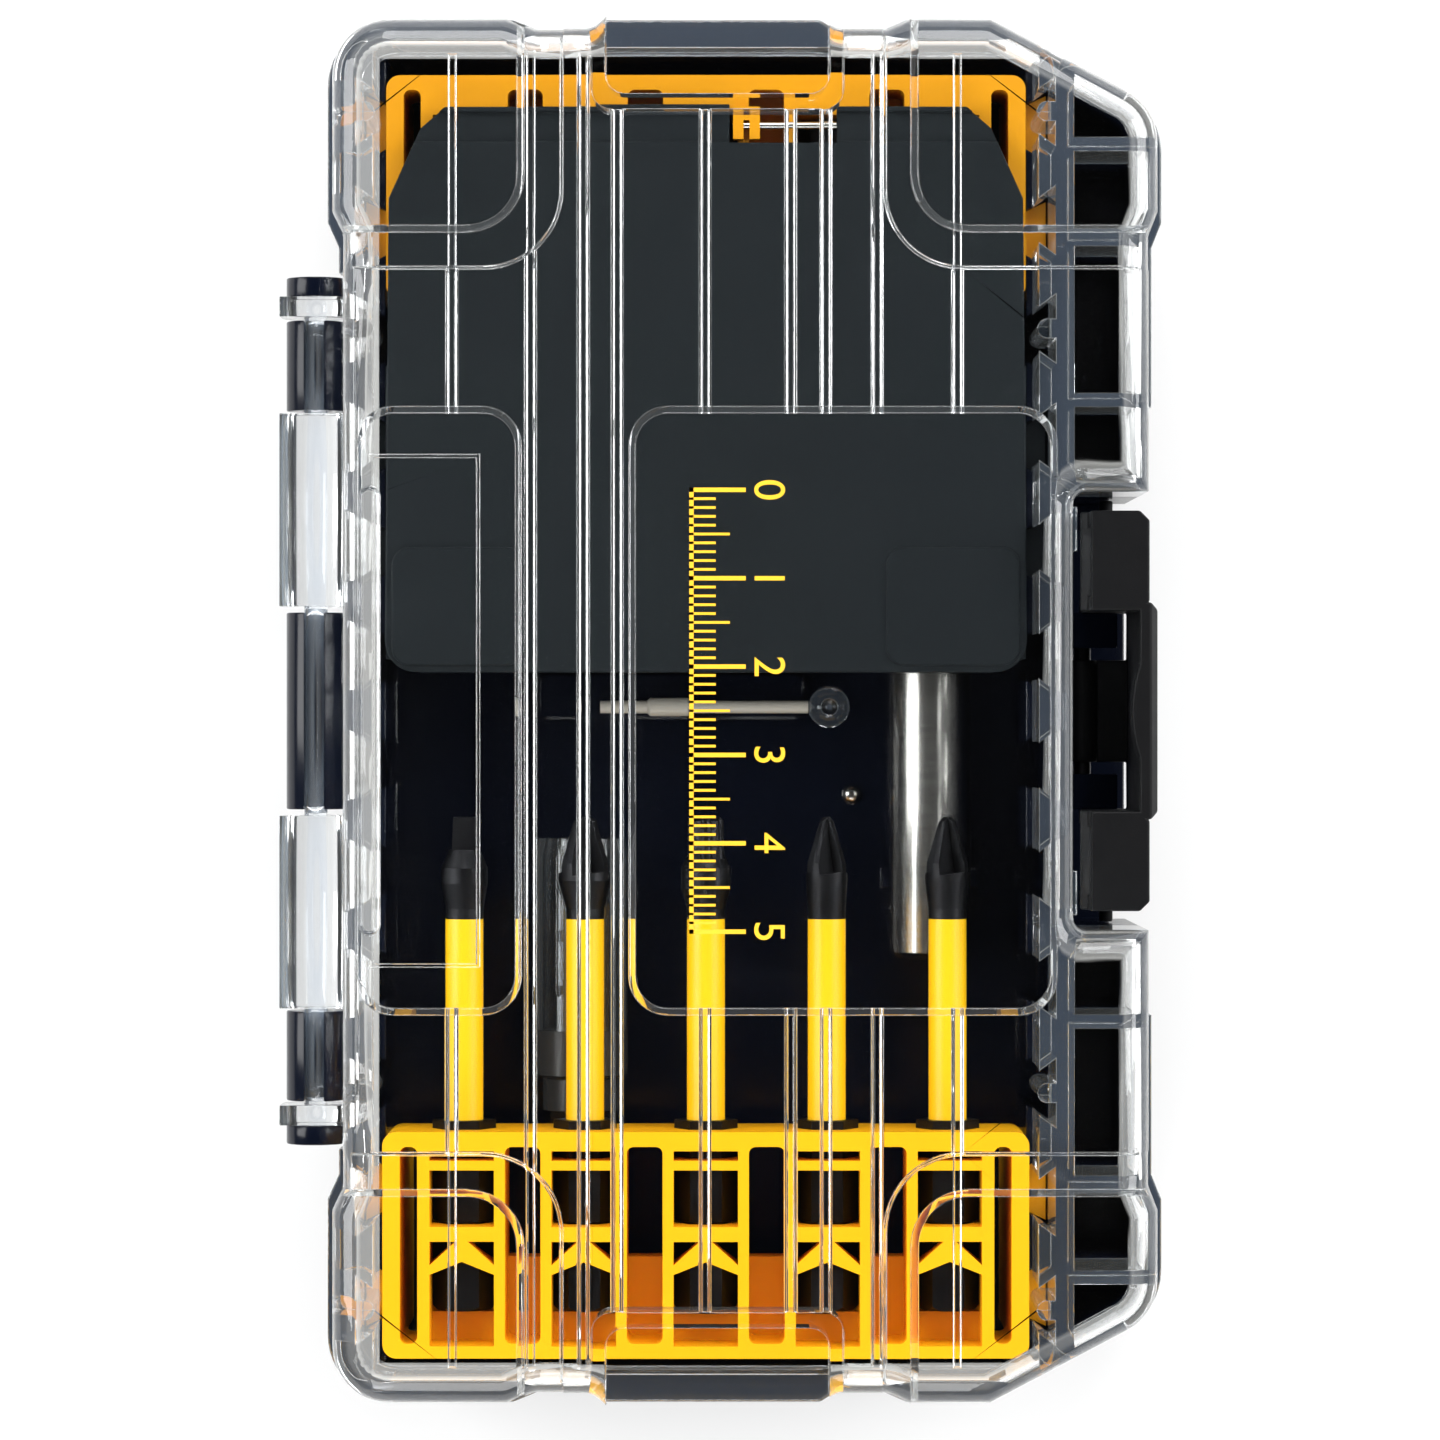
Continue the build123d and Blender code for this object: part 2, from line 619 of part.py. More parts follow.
def label_line():
    """The fine raised line round the label place in the left-hand panel."""
    low = HEIGHT - PANEL_DEPTH
    outer = rect(BEAD_X, LABEL_X, -LABEL_HALF, LABEL_HALF)
    inner_half = LABEL_HALF - LABEL_LINE
    inner = rect(BEAD_X - BEAD_R, LABEL_X - LABEL_LINE, -inner_half, inner_half)
    return plate(outer - inner, low - BITE, low + LABEL_LINE)


def domed(inset, low, high, r):
    """A solid with the case's outline whose top edge is rounded."""
    body = plate(case_plan(inset), low, high)
    return fillet(body.faces().sort_by(Axis.Z)[-1].outer_wire().edges(), r)


def lid_outside():
    """The lid's outer form: rounded shoulders that step down with the roof at the four corners."""
    body = domed(RIM_OVERHANG, LID_BOTTOM_Z, HEIGHT, ROOF_ROUND)
    outside = body
    for level, slope in enumerate(CORNER_SLOPE):
        low_top = HEIGHT - (level + 1) * CORNER_STEP
        zone = corner_plans(level)
        lowered = Pos(0, 0, low_top - HEIGHT) * body & plate(zone, LID_BOTTOM_Z, HEIGHT)
        ramp = plate(zone, low_top, low_top + slope) - sloped_cut(zone, low_top, slope)
        outside = outside - plate(zone, low_top - ROOF_ROUND, HEIGHT + CUT) + lowered + (ramp & body)
    return outside


def lid_inside():
    """The lid's hollow: the compartment and the side cells, rounded at the outer shoulders."""
    body = domed(RIM_OVERHANG + HINGE_WALL, 0, ROOF_UNDER_Z, ROOF_ROUND - HINGE_WALL)
    body &= plate(compartment_plan() + cells_plan(), 0, ROOF_UNDER_Z)
    corners = plate(corner_plans(0), 0, HEIGHT)
    lowered = Pos(0, 0, -CORNER_STEP) * body & corners
    hollow = body - corners + lowered
    return hollow - plate(notch_plan(WALL), NOTCH_TOP_Z - WALL, HEIGHT)


def lid_shell():
    """The clear lid: one moulding with its roof steps, ribs, rails, cells, hinge blocks and rod."""
    shell = lid_outside() + plate(rim_plan(), LID_BOTTOM_Z, LID_BOTTOM_Z + RIM_THICK) - lid_inside()
    works = rails(LID_TOOTH_DEPTH, LID_BOTTOM_Z + CUT, ROOF_UNDER_Z + BITE) + roof_ribs() + lid_tongues()
    works -= plate(corner_plans(0), ROOF_UNDER_Z - CORNER_STEP + SINK, HEIGHT)
    shell += works + lid_hinge() + catch_ledges()
    shell -= sloped_cut(panel_plans(), HEIGHT - PANEL_DEPTH, PANEL_SLOPE)
    shell -= plate(notch_plan(0), NOTCH_TOP_Z, HEIGHT + CUT)
    return shell + lid_bead() + label_line()


def latch_lever():
    """The black latch: two hollow end blocks, the pull bar between them, and its pivot barrel."""
    low = PIVOT_Z - LATCH_DROP
    x0, x1 = LATCH_BLOCK_X
    y0, y1 = LATCH_BLOCK_Y
    block = chamfer(rect(x0, x1, y0, y1).vertices().sort_by(Axis.X)[-2:], LATCH_BLOCK_CHAMFER)
    body = plate(block, low, LATCH_TOP_Z)
    inside = rect(x0 - CUT, x1 - LATCH_WALL, y0 + LATCH_WALL, y1 - LATCH_WALL)
    body -= plate(inside, low - CUT, LATCH_TOP_Z - LATCH_WALL)
    lip_low = ledge_top() + LIP_CLEAR_Z
    lip = [(BAY_X + CATCH_REACH + LIP_GAP, lip_low), (x0 + LATCH_WALL, lip_low)]
    lip += [(x0 + LATCH_WALL, lip_low + 2 * LIP_THICK), (BAY_X + CATCH_REACH + LIP_GAP, lip_low + LIP_THICK)]
    body += span_y(side_profile(lip), y0, y1)
    body += span_y(disc_y(NUB_X, NUB_Z, NUB_R), y1 - BITE, BAY_HALF - HINGE_CLEAR)
    blocks = both_ends(body)
    inner, outer = PULL_X
    outline = [(inner, low), (outer - PULL_TAPER, low), (outer, low + PULL_FOOT)]
    outline += [(outer, LATCH_TOP_Z - PULL_TAPER), (outer - PULL_EASE, LATCH_TOP_Z), (inner, LATCH_TOP_Z)]
    pull = span_y(side_profile(outline), -PULL_HALF, PULL_HALF)
    plan = chamfer(rect(inner, outer, -PULL_HALF, PULL_HALF).vertices().sort_by(Axis.X)[-2:], PULL_EASE)
    pull &= plate(plan, low, LATCH_TOP_Z)
    middle = (GRIP_X[0] + GRIP_X[1]) / 2
    half = (GRIP_X[1] - GRIP_X[0]) / 2
    grip_r = (GRIP_HALF ** 2 + half ** 2) / (2 * half)
    lens = Pos(middle - half + grip_r, 0) * Circle(grip_r) & Pos(middle + half - grip_r, 0) * Circle(grip_r)
    pull += plate(lens, LATCH_TOP_Z - GRIP_DEPTH, LATCH_TOP_Z)
    pull -= plate(Pos(middle, 0) * scale(Pos(-middle, 0) * lens, GRIP_FACE), LATCH_TOP_Z - GRIP_SUNK, HEIGHT)
    arm = [(PIVOT_X, PIVOT_Z - PIVOT_BARREL_R), (inner + BITE, PIVOT_Z - PIVOT_BARREL_R)]
    arm += [(inner + BITE, PIVOT_Z + ARM_RISE), (PIVOT_X, PIVOT_Z + ARM_RISE)]
    barrel = disc_y(PIVOT_X, PIVOT_Z, PIVOT_BARREL_R) + side_profile(arm)
    barrel -= disc_y(PIVOT_X, PIVOT_Z, PIVOT_PIN_R + PIVOT_CLEAR)
    return blocks + pull + span_y(barrel, -PIVOT_BARREL_HALF, PIVOT_BARREL_HALF)


def latch_pin():
    """The pin through the base's lugs and the latch's barrel."""
    return span_y(disc_y(PIVOT_X, PIVOT_Z, PIVOT_PIN_R), -LUG_Y[1], LUG_Y[1])


def hexagon(clear):
    """The outline of a hex shank across its flats, with a clearance all round."""
    return RegularPolygon((HEX / 2 + clear), 6, major_radius=False)


def bar_windows(x, end):
    """The openings in a bar's face over one bit: two windows and a house-shaped one up to end."""
    half = CELL_WIDTH / 2
    start, size = SMALL_WINDOW
    face = rect(x - half, x + half, start, start + size)
    start, size = SQUARE_WINDOW
    face += rect(x - half, x + half, start, start + size)
    roof = [(x - half, HOUSE_EAVES_Y), (x, HOUSE_APEX_Y), (x + half, HOUSE_EAVES_Y)]
    face += make_face(Polyline((x - half, end), *roof, (x + half, end), close=True))
    for side in (-1, 1):
        wide, tip = x + side * half, x + side * CHEVRON_TIP
        pocket = [(wide, CHEVRON_Y + CHEVRON_BAR), (tip, CHEVRON_Y + CHEVRON_BAR)]
        pocket += [(wide, HOUSE_EAVES_Y - CHEVRON_BAR)]
        face += make_face(Polyline(*pocket, close=True))
    return face


def bit_bar(axis_z, back_y, end_wall):
    """A bit bar with its back at back_y and its mouths towards the middle, with tabs and end feet."""
    low = axis_z - BAR_HALF_HEIGHT
    high = axis_z + BAR_HALF_HEIGHT
    x0 = MIDDLE_X - BAR_HALF
    x1 = MIDDLE_X + BAR_HALF
    bar = plate(rect(x0, x1, 0, BAR_LENGTH, BAR_ROUND), low, high)
    for x in BIT_XS:
        socket = Plane((x, -CUT, axis_z), x_dir=(1, 0, 0), z_dir=(0, 1, 0)) * hexagon(HEX_CLEAR)
        bar -= extrude(socket, amount=BAR_LENGTH + CUT - SOCKET_END_WALL)
        bar -= plate(bar_windows(x, BAR_LENGTH - end_wall), axis_z, high + CUT)
    slot_y = (BAR_MARGIN, BAR_LENGTH - BAR_MARGIN)
    for i in range(BIT_COUNT - 1):
        x = (BIT_XS[i] + BIT_XS[i + 1]) / 2
        slot = rect(x - SLOT_WIDTH / 2, x + SLOT_WIDTH / 2, *slot_y, SLOT_R)
        bar -= plate(slot, low + SLOT_FLOOR, high + CUT)
        through = rect(x - SLOT_WIDTH / 2, x + SLOT_WIDTH / 2, BAR_MARGIN, SLOT_THROUGH)
        bar -= plate(through, low - CUT, low + SLOT_FLOOR + CUT)
    for side in (-1, 1):
        x = MIDDLE_X + side * (BAR_HALF - BAR_END_WALL - END_SLOT_WIDTH / 2)
        end_slot = rect(x - END_SLOT_WIDTH / 2, x + END_SLOT_WIDTH / 2, *slot_y, SLOT_R)
        bar -= plate(end_slot, low - CUT, high + CUT)
        wall_x = sorted((MIDDLE_X + side * BAR_HALF, MIDDLE_X + side * (BAR_HALF - BAR_END_WALL)))
        bar += plate(rect(*wall_x, BAR_ROUND, BAR_LENGTH - BAR_ROUND), FLOOR, low + CUT)
    return Pos(0, back_y - BAR_LENGTH, 0) * bar + wall_tabs(back_y - BAR_LENGTH, back_y)


def lower_bit_bar():
    """The bright bar of the long bits, its mouths towards the middle of the case."""
    return mirror(bit_bar(BIT_Z, BAR_BACK_Y, HOUSE_END_WALL[0]), about=Plane.XZ)


def bar_clip():
    """The upper bar's clip, up through the cover's slot: a bridge with two fingers bored for a pin."""
    back = COVER_BACK_Y - CLIP_CLEAR
    front = back - CLIP_BRIDGE
    top = COVER_Z + CLIP_TOP
    plan = rect(CLIP_FINGER_X[0][0], CLIP_FINGER_X[1][1], front, back)
    for x0, x1 in CLIP_FINGER_X:
        plan += rect(x0, x1, front - CLIP_FINGER_LENGTH, back)
    bore = Plane.YZ * Pos(CLIP_PIN_Y, CLIP_PIN_Z) * Circle(CLIP_PIN_R + SLEEVE_CLEAR)
    return plate(plan, UPPER_TOP_Z - BITE, top) - extrude(bore, amount=RIGHT_X)


def upper_bit_bar():
    """The second bar, lower down under the cover, with the clip that ties the cover to it."""
    return bit_bar(INSERT_Z, UPPER_BAR_BACK_Y, HOUSE_END_WALL[1]) + bar_clip()


def clip_pin():
    """The steel pin through the clip's fingers and into the end of the cover's slot."""
    start = CLIP_FINGER_X[0][0]
    length = COVER_SLOT_X[1] + CLIP_PIN_BITE - start
    outline = Plane.YZ * Pos(CLIP_PIN_Y, CLIP_PIN_Z) * Circle(CLIP_PIN_R)
    return Pos(start, 0, 0) * extrude(outline, amount=length)


def compartment_cover():
    """The grey panel over the upper bar, on side walls with tabs that stand in the base's rails."""
    x0 = MIDDLE_X - BAR_HALF
    x1 = MIDDLE_X + BAR_HALF
    y0, y1 = COVER_FRONT_Y, COVER_BACK_Y
    right = [(x1 - dx, y1 - dy) for dx, dy in COVER_CORNERS]
    left = [(x0 + dx, y1 - dy) for dx, dy in reversed(COVER_CORNERS)]
    outline = make_face(Polyline((x0, y0), *left, *right, (x1, y0), close=True))
    outline = fillet(outline.vertices().sort_by(Axis.Y)[:2], COVER_R)
    cover = plate(outline, COVER_Z, COVER_Z + COVER_THICK)
    w, h = COVER_PAD_SIZE
    edge = COVER_PAD_EDGE
    pads = rect(x1 - w, x1 - edge, y0 + edge, y0 + h, COVER_PAD_R)
    pads += rect(x0 + edge, x0 + w, y0 + edge, y0 + h, COVER_PAD_R)
    cover += plate(pads, COVER_Z + COVER_THICK / 2, COVER_Z + COVER_THICK + COVER_PAD)
    band = rect(MIDDLE_X - BAND_HALF, MIDDLE_X + BAND_HALF, y1 - BAND_Y[1], y1 - BAND_Y[0], COVER_PAD_EDGE)
    cover -= plate(band, COVER_Z + COVER_THICK - BAND_DEPTH, HEIGHT)
    cover -= plate(rect(*COVER_SLOT_X, y1 - COVER_SLOT, y1 + CUT), COVER_Z - CUT, HEIGHT)
    bore = Plane.YZ * Pos(CLIP_PIN_Y, CLIP_PIN_Z) * Circle(CLIP_PIN_R + SLEEVE_CLEAR)
    cover -= extrude(bore, amount=COVER_SLOT_X[1] + CLIP_PIN_BITE + SLEEVE_CLEAR)
    wall_y = (y0 + COVER_WALL, UPPER_BAR_FRONT_Y - COVER_WALL_BEFORE_BAR)
    for wall_x in ((x0, x0 + COVER_WALL), (x1 - COVER_WALL, x1)):
        cover += plate(rect(*wall_x, *wall_y), FLOOR, COVER_Z + BITE)
    front = rect(x0 + COVER_R, x1 - COVER_R, y0, y0 + COVER_WALL)
    cover += plate(front, COVER_Z - COVER_FRONT_DROP, COVER_Z + BITE)
    return cover + wall_tabs(*wall_y)


def along_y(outline_points):
    """Turn a half outline of radius and distance into a round body along Y, its back at Y = 0."""
    return revolve(make_face(Polyline(*outline_points, close=True)), Axis.Y)


def flutes(length, root, tilt):
    """Four V-shaped grooves that leave a cross on a point, deepest at its end."""
    width = 6.0
    grooves = Part()
    for turn in range(4):
        groove = Box(width, length * 2, width, align=(Align.MIN, Align.CENTER, Align.MIN))
        groove = Rot(0, 45 + 90 * turn, 0) * (Pos(root, 0, root) * groove)
        lean_axis = math.radians(90 * turn)
        lean = Rot(tilt * math.cos(lean_axis), 0, -tilt * math.sin(lean_axis))
        grooves += lean * groove
    return grooves


def cross_point(length, tip_r, shoulder_r):
    """A cross-shaped point on a swelling neck, its end at +Y."""
    points = [(0, 0), (SLEEVE_R, 0), (SLEEVE_R, length * 0.1), (shoulder_r, length * 0.38)]
    points += [(shoulder_r, length * 0.55), (tip_r, length * 0.96), (tip_r * 0.5, length), (0, length)]
    body = along_y(points)
    return body - Pos(0, length, 0) * flutes(length * 0.55, 0.42, 7)


def star_point(length, shoulder_r):
    """A six-lobed point on a swelling neck, its end at +Y."""
    lobe_r = shoulder_r * 0.72
    points = [(0, 0), (SLEEVE_R, 0), (SLEEVE_R, length * 0.1), (shoulder_r, length * 0.3)]
    points += [(shoulder_r, length * 0.5), (lobe_r, length * 0.64), (lobe_r, length * 0.96)]
    points += [(lobe_r * 0.8, length), (0, length)]
    body = along_y(points)
    for turn in range(6):
        angle = math.radians(60 * turn + 30)
        reach = lobe_r * 1.12
        spot = (reach * math.cos(angle), length * 0.8, reach * math.sin(angle))
        body -= Pos(*spot) * Rot(90, 0, 0) * Cylinder(lobe_r * 0.34, length * 0.42)
    return body


def square_point(length, shoulder_r, flat):
    """A square tapered point on a swelling neck, its end at +Y."""
    points = [(0, 0), (SLEEVE_R, 0), (SLEEVE_R, length * 0.1), (shoulder_r, length * 0.35)]
    points += [(shoulder_r, length * 0.5), (flat * 0.6, length * 0.68), (0, length * 0.68)]
    square = Plane((0, length * 0.5, 0), x_dir=(1, 0, 0), z_dir=(0, 1, 0)) * Rectangle(flat, flat)
    return along_y(points) + extrude(square, amount=length * 0.5, taper=2.5)


def bit_point(index, length):
    """The driving point of one of the five kinds."""
    if index == 0:
        return square_point(length, 2.7, 3.0)
    if index == 2:
        return star_point(length, 2.9)
    tips = {1: (1.5, 3.1), 3: (0.8, 2.4), 4: (1.0, 2.6)}
    return cross_point(length, *tips[index])


def hex_shank(length):
    """A hex shank from Y = 0 to +Y, with a snap groove near its back end."""
    outline = Plane((0, 0, 0), x_dir=(1, 0, 0), z_dir=(0, 1, 0)) * hexagon(0)
    shank = chamfer_end(extrude(outline, amount=length), 0.6)
    ring_outer = HEX
    groove = [(GROOVE_R, -GROOVE_WIDTH / 4), (ring_outer, -GROOVE_WIDTH / 2)]
    groove += [(ring_outer, GROOVE_WIDTH / 2), (GROOVE_R, GROOVE_WIDTH / 4)]
    if length > GROOVE_FROM_END + GROOVE_WIDTH:
        shank -= Pos(0, GROOVE_FROM_END, 0) * along_y(groove)
    return shank


def chamfer_end(shank, size):
    """Round off the back end of a hex shank with a cone, as turned steel has."""
    reach = HEX
    cone = [(HEX / 2, 0), (reach, 0), (reach, reach - HEX / 2 + size), (HEX / 2 + size, size)]
    return shank - along_y(cone)


def long_bit(index):
    """A long bit: hex shank in the bar, slim core through the sleeve, and the point."""
    shank_length = BIT_LENGTH - BIT_TIP - BIT_SLEEVE
    bit = hex_shank(shank_length)
    bit += Pos(0, shank_length - 0.5, 0) * along_y(
        [(0, 0), (BIT_CORE_R, 0), (BIT_CORE_R, BIT_SLEEVE + 1), (0, BIT_SLEEVE + 1)])
    bit += Pos(0, shank_length + BIT_SLEEVE, 0) * bit_point(index, BIT_TIP)
    return Pos(BIT_XS[index], BIT_BACK_Y, BIT_Z) * bit


def bit_sleeve(index):
    """The coloured sleeve round a long bit's core."""
    inner = BIT_CORE_R + SLEEVE_CLEAR
    tube = along_y([(inner, 0), (SLEEVE_R, 0), (SLEEVE_R, BIT_SLEEVE), (inner, BIT_SLEEVE)])
    start = BIT_BACK_Y + BIT_LENGTH - BIT_TIP - BIT_SLEEVE
    return Pos(BIT_XS[index], start, BIT_Z) * tube


def insert_bit(index):
    """A short bit in the upper bar, its point towards the middle of the case."""
    body = hex_shank(INSERT_LENGTH - INSERT_TIP)
    body += Pos(0, INSERT_LENGTH - INSERT_TIP, 0) * bit_point(index, INSERT_TIP)
    back = UPPER_BAR_BACK_Y - SOCKET_END_WALL - BIT_END_GAP
    return Pos(BIT_XS[index], back, INSERT_Z) * Rot(0, 0, 180) * body


def bit_holder_barrel():
    """The steel barrel, with a hex socket at its front and grip grooves near its back."""
    points = [(0, 0), (HOLDER_R - 0.8, 0), (HOLDER_R, 0.8), (HOLDER_R, HOLDER_BARREL - 9)]
    points += [(HOLDER_R - 0.5, HOLDER_BARREL - 8.5), (HOLDER_R - 0.5, HOLDER_BARREL - 7)]
    points += [(HOLDER_R, HOLDER_BARREL - 6.5), (HOLDER_R, HOLDER_BARREL - 2), (HEX / 2 + 0.9, HOLDER_BARREL)]
    points += [(0, HOLDER_BARREL)]
    barrel = along_y(points)
    mouth = Plane((0, 0, 0), x_dir=(1, 0, 0), z_dir=(0, 1, 0)) * hexagon(HEX_CLEAR)
    barrel -= extrude(mouth, amount=HOLDER_SOCKET)
    barrel -= along_y([(0, HOLDER_SOCKET), (MAGNET_R, HOLDER_SOCKET),
                       (MAGNET_R, HOLDER_SOCKET + MAGNET_LENGTH), (0, HOLDER_SOCKET + MAGNET_LENGTH)])
    tail = Plane((0, HOLDER_BARREL - HOLDER_GRIP, 0), x_dir=(1, 0, 0), z_dir=(0, 1, 0)) * hexagon(0)
    barrel -= extrude(tail, amount=HOLDER_GRIP)
    return Pos(HOLDER_X, HOLDER_FRONT_Y, HOLDER_Z) * barrel


def bit_holder_shank():
    """The holder's hex shank, pressed into the back of its barrel."""
    shank = Rot(0, 0, 180) * hex_shank(HOLDER_SHANK + HOLDER_GRIP)
    return Pos(HOLDER_X, HOLDER_FRONT_Y + HOLDER_BARREL + HOLDER_SHANK, HOLDER_Z) * shank


def bit_holder_magnet():
    """The magnet at the bottom of the holder's socket."""
    y = HOLDER_FRONT_Y + HOLDER_SOCKET
    return span_y(disc_y(HOLDER_X, HOLDER_Z, MAGNET_R), y, y + MAGNET_LENGTH)


def guide_tube():
    """The clear tube that slides over a screw, with a thickened lip at its front."""
    bore = GUIDE_R - GUIDE_WALL
    points = [(bore, 0), (GUIDE_R, 0), (GUIDE_R, GUIDE_TUBE - 2), (GUIDE_R - 0.3, GUIDE_TUBE)]
    points += [(bore - 0.4, GUIDE_TUBE), (bore, GUIDE_TUBE - 2)]
    return Pos(GUIDE_X, GUIDE_FRONT_Y - GUIDE_TUBE, GUIDE_Z) * along_y(points)


def guide_hub():
    """The guide's dark hub and its narrower collar, bored for the drive core."""
    back = GUIDE_HUB + GUIDE_COLLAR
    points = [(GUIDE_BORE_R, 0), (GUIDE_COLLAR_R, 0), (GUIDE_COLLAR_R, GUIDE_COLLAR)]
    points += [(GUIDE_R, GUIDE_COLLAR + 0.5), (GUIDE_R, back), (GUIDE_BORE_R, back)]
    hub = along_y(points)
    return Pos(GUIDE_X, GUIDE_FRONT_Y - GUIDE_TUBE - back, GUIDE_Z) * hub


def guide_shank():
    """The guide's hex shank under the lower bar, with the slim drive core that runs up its tube."""
    shank = hex_shank(GUIDE_SHANK)
    core = GUIDE_HUB + GUIDE_COLLAR + GUIDE_TUBE * 0.6
    slim = GUIDE_BORE_R - SLEEVE_CLEAR
    shank += Pos(0, GUIDE_SHANK, 0) * along_y([(0, -0.5), (slim, -0.5), (slim, core), (0, core)])
    back = GUIDE_FRONT_Y - GUIDE_TUBE - GUIDE_HUB - GUIDE_COLLAR - GUIDE_SHANK
    return Pos(GUIDE_X, back, GUIDE_Z) * shank


def retainer_pin():
    """The thin pin across the floor shelf, thicker where it is gripped."""
    left, right = PIN_X
    grip_left, grip_right = PIN_GRIP_X
    profile = [(0, left), (PIN_R, left), (PIN_R, grip_left), (PIN_GRIP_R, grip_left + PIN_GRIP_EASE)]
    profile += [(PIN_GRIP_R, grip_right - PIN_GRIP_EASE), (PIN_R, grip_right), (PIN_R, right), (0, right)]
    pin = Rot(0, 0, -90) * along_y(profile)
    return Pos(0, PIN_Y, PIN_Z) * pin


def retainer_head():
    """The clear round head on the end of the pin."""
    at = (PIN_X[1] + PIN_HEAD_R, PIN_Y, PIN_Z)
    ball = Pos(*at) * Sphere(PIN_HEAD_R)
    left_face = PIN_X[1]
    room = 4 * PIN_HEAD_R
    keep = Pos(left_face, PIN_Y, at[2]) * Box(room, room, room, align=(Align.MIN, Align.CENTER, Align.CENTER))
    dimple = Pos(at[0], at[1], at[2] + PIN_HEAD_R) * Sphere(PIN_DIMPLE_R)
    return (ball & keep) - dimple


def floor_rivet():
    """The small domed rivet on the floor."""
    x = RIVET_X
    y = COVER_FRONT_Y - RIVET_BEFORE_COVER
    r = (RIVET_R ** 2 + RIVET_HEIGHT ** 2) / (2 * RIVET_HEIGHT)
    dome = Pos(x, y, FLOOR + RIVET_HEIGHT - r) * Sphere(r)
    room = 4 * RIVET_R
    above = Pos(x, y, FLOOR) * Box(room, room, room, align=(Align.CENTER, Align.CENTER, Align.MIN))
    return dome & above


def all_nodes():
    """Every piece by name."""
    nodes = {
        "base_shell": base_shell(),
        "lid_shell": lid_shell(),
        "latch_lever": latch_lever(),
        "latch_pin": latch_pin(),
        "lower_bit_bar": lower_bit_bar(),
        "upper_bit_bar": upper_bit_bar(),
        "compartment_cover": compartment_cover(),
        "clip_pin": clip_pin(),
        "bit_holder_barrel": bit_holder_barrel(),
        "bit_holder_shank": bit_holder_shank(),
        "bit_holder_magnet": bit_holder_magnet(),
        "guide_tube": guide_tube(),
        "guide_hub": guide_hub(),
        "guide_shank": guide_shank(),
        "retainer_pin": retainer_pin(),
        "retainer_head": retainer_head(),
        "floor_rivet": floor_rivet(),
    }
    for i in range(BIT_COUNT):
        nodes[f"bit_{i + 1}"] = long_bit(i)
        nodes[f"bit_{i + 1}_sleeve"] = bit_sleeve(i)
        nodes[f"insert_bit_{i + 1}"] = insert_bit(i)
    return nodes


os.makedirs("parts", exist_ok=True)
for name, shape in all_nodes().items():
    export_step(shape, f"parts/{name}.step")
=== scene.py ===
"""Looks of the screwdriver bit set: finishes for every piece, the print on the lid, light and camera."""

import json
import math

import bpy
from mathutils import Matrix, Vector


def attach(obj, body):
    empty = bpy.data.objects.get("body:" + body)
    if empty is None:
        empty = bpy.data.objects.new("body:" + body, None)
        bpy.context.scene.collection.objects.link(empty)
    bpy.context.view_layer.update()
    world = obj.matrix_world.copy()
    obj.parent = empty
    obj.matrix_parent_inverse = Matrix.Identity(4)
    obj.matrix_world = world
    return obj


MM = 0.001

# The photograph: image size, its scale at the seam, and the camera's height
IMAGE_PX = 1440
PX_PER_MM = 8.6
MIDDLE_PX = (721, 711)
CAMERA_HEIGHT_MM = 640.0
SEAM_MM = 23.0
SENSOR_MM = 36.0

# Clear plastic: its share of a pale diffuse coat by the square of the upward part of its normal, painted
# highlight on sloped shoulders and eased edges and faintly pale elsewhere, the coat's colour, and its
# refractive index
HAZE_AND_HIGHLIGHT_BY_SLOPE = ((0.0, 0.03), (0.05, 0.04), (0.1, 0.26), (0.18, 0.26), (0.24, 0.03), (0.7, 0.03),
                 (0.82, 0.13), (0.95, 0.13), (0.98, 0.2), (0.995, 0.0))
PALE_HAZE_AND_HIGHLIGHT = (0.62, 0.62, 0.6)
PLASTIC_INDEX = 1.5

# The level lower ends of the lid's walls: how level and how low they are, and the share and pale blue
# colour of the painted light put on them
WALL_END_LEVEL = 0.9
WALL_END_TOP_MM = 24.3
WALL_END_PAINTED_LIGHT = 0.07
WALL_END_PAINTED_BLUE = (0.5, 0.6, 0.74)

# The roof's level edge over the outer walls, beyond these distances from the middle towards the hinge
# and towards the short ends and above a height, and the share of the painted highlight, a pale band, put
# on it
ROOF_EDGE_LEVEL = 0.97
ROOF_EDGE_FROM_MM = (38.7, 73.9)
ROOF_EDGE_BOTTOM_MM = 39.0
ROOF_EDGE_PAINTED_HIGHLIGHT = 0.3

# Noise of clear plastic's gloss and of its slow waves, in cycles per metre, and how high the waves are
CLEAR_GLOSS_SCALE = 180
CLEAR_WAVE_SCALE = 90
CLEAR_WAVE_MM = 0.02

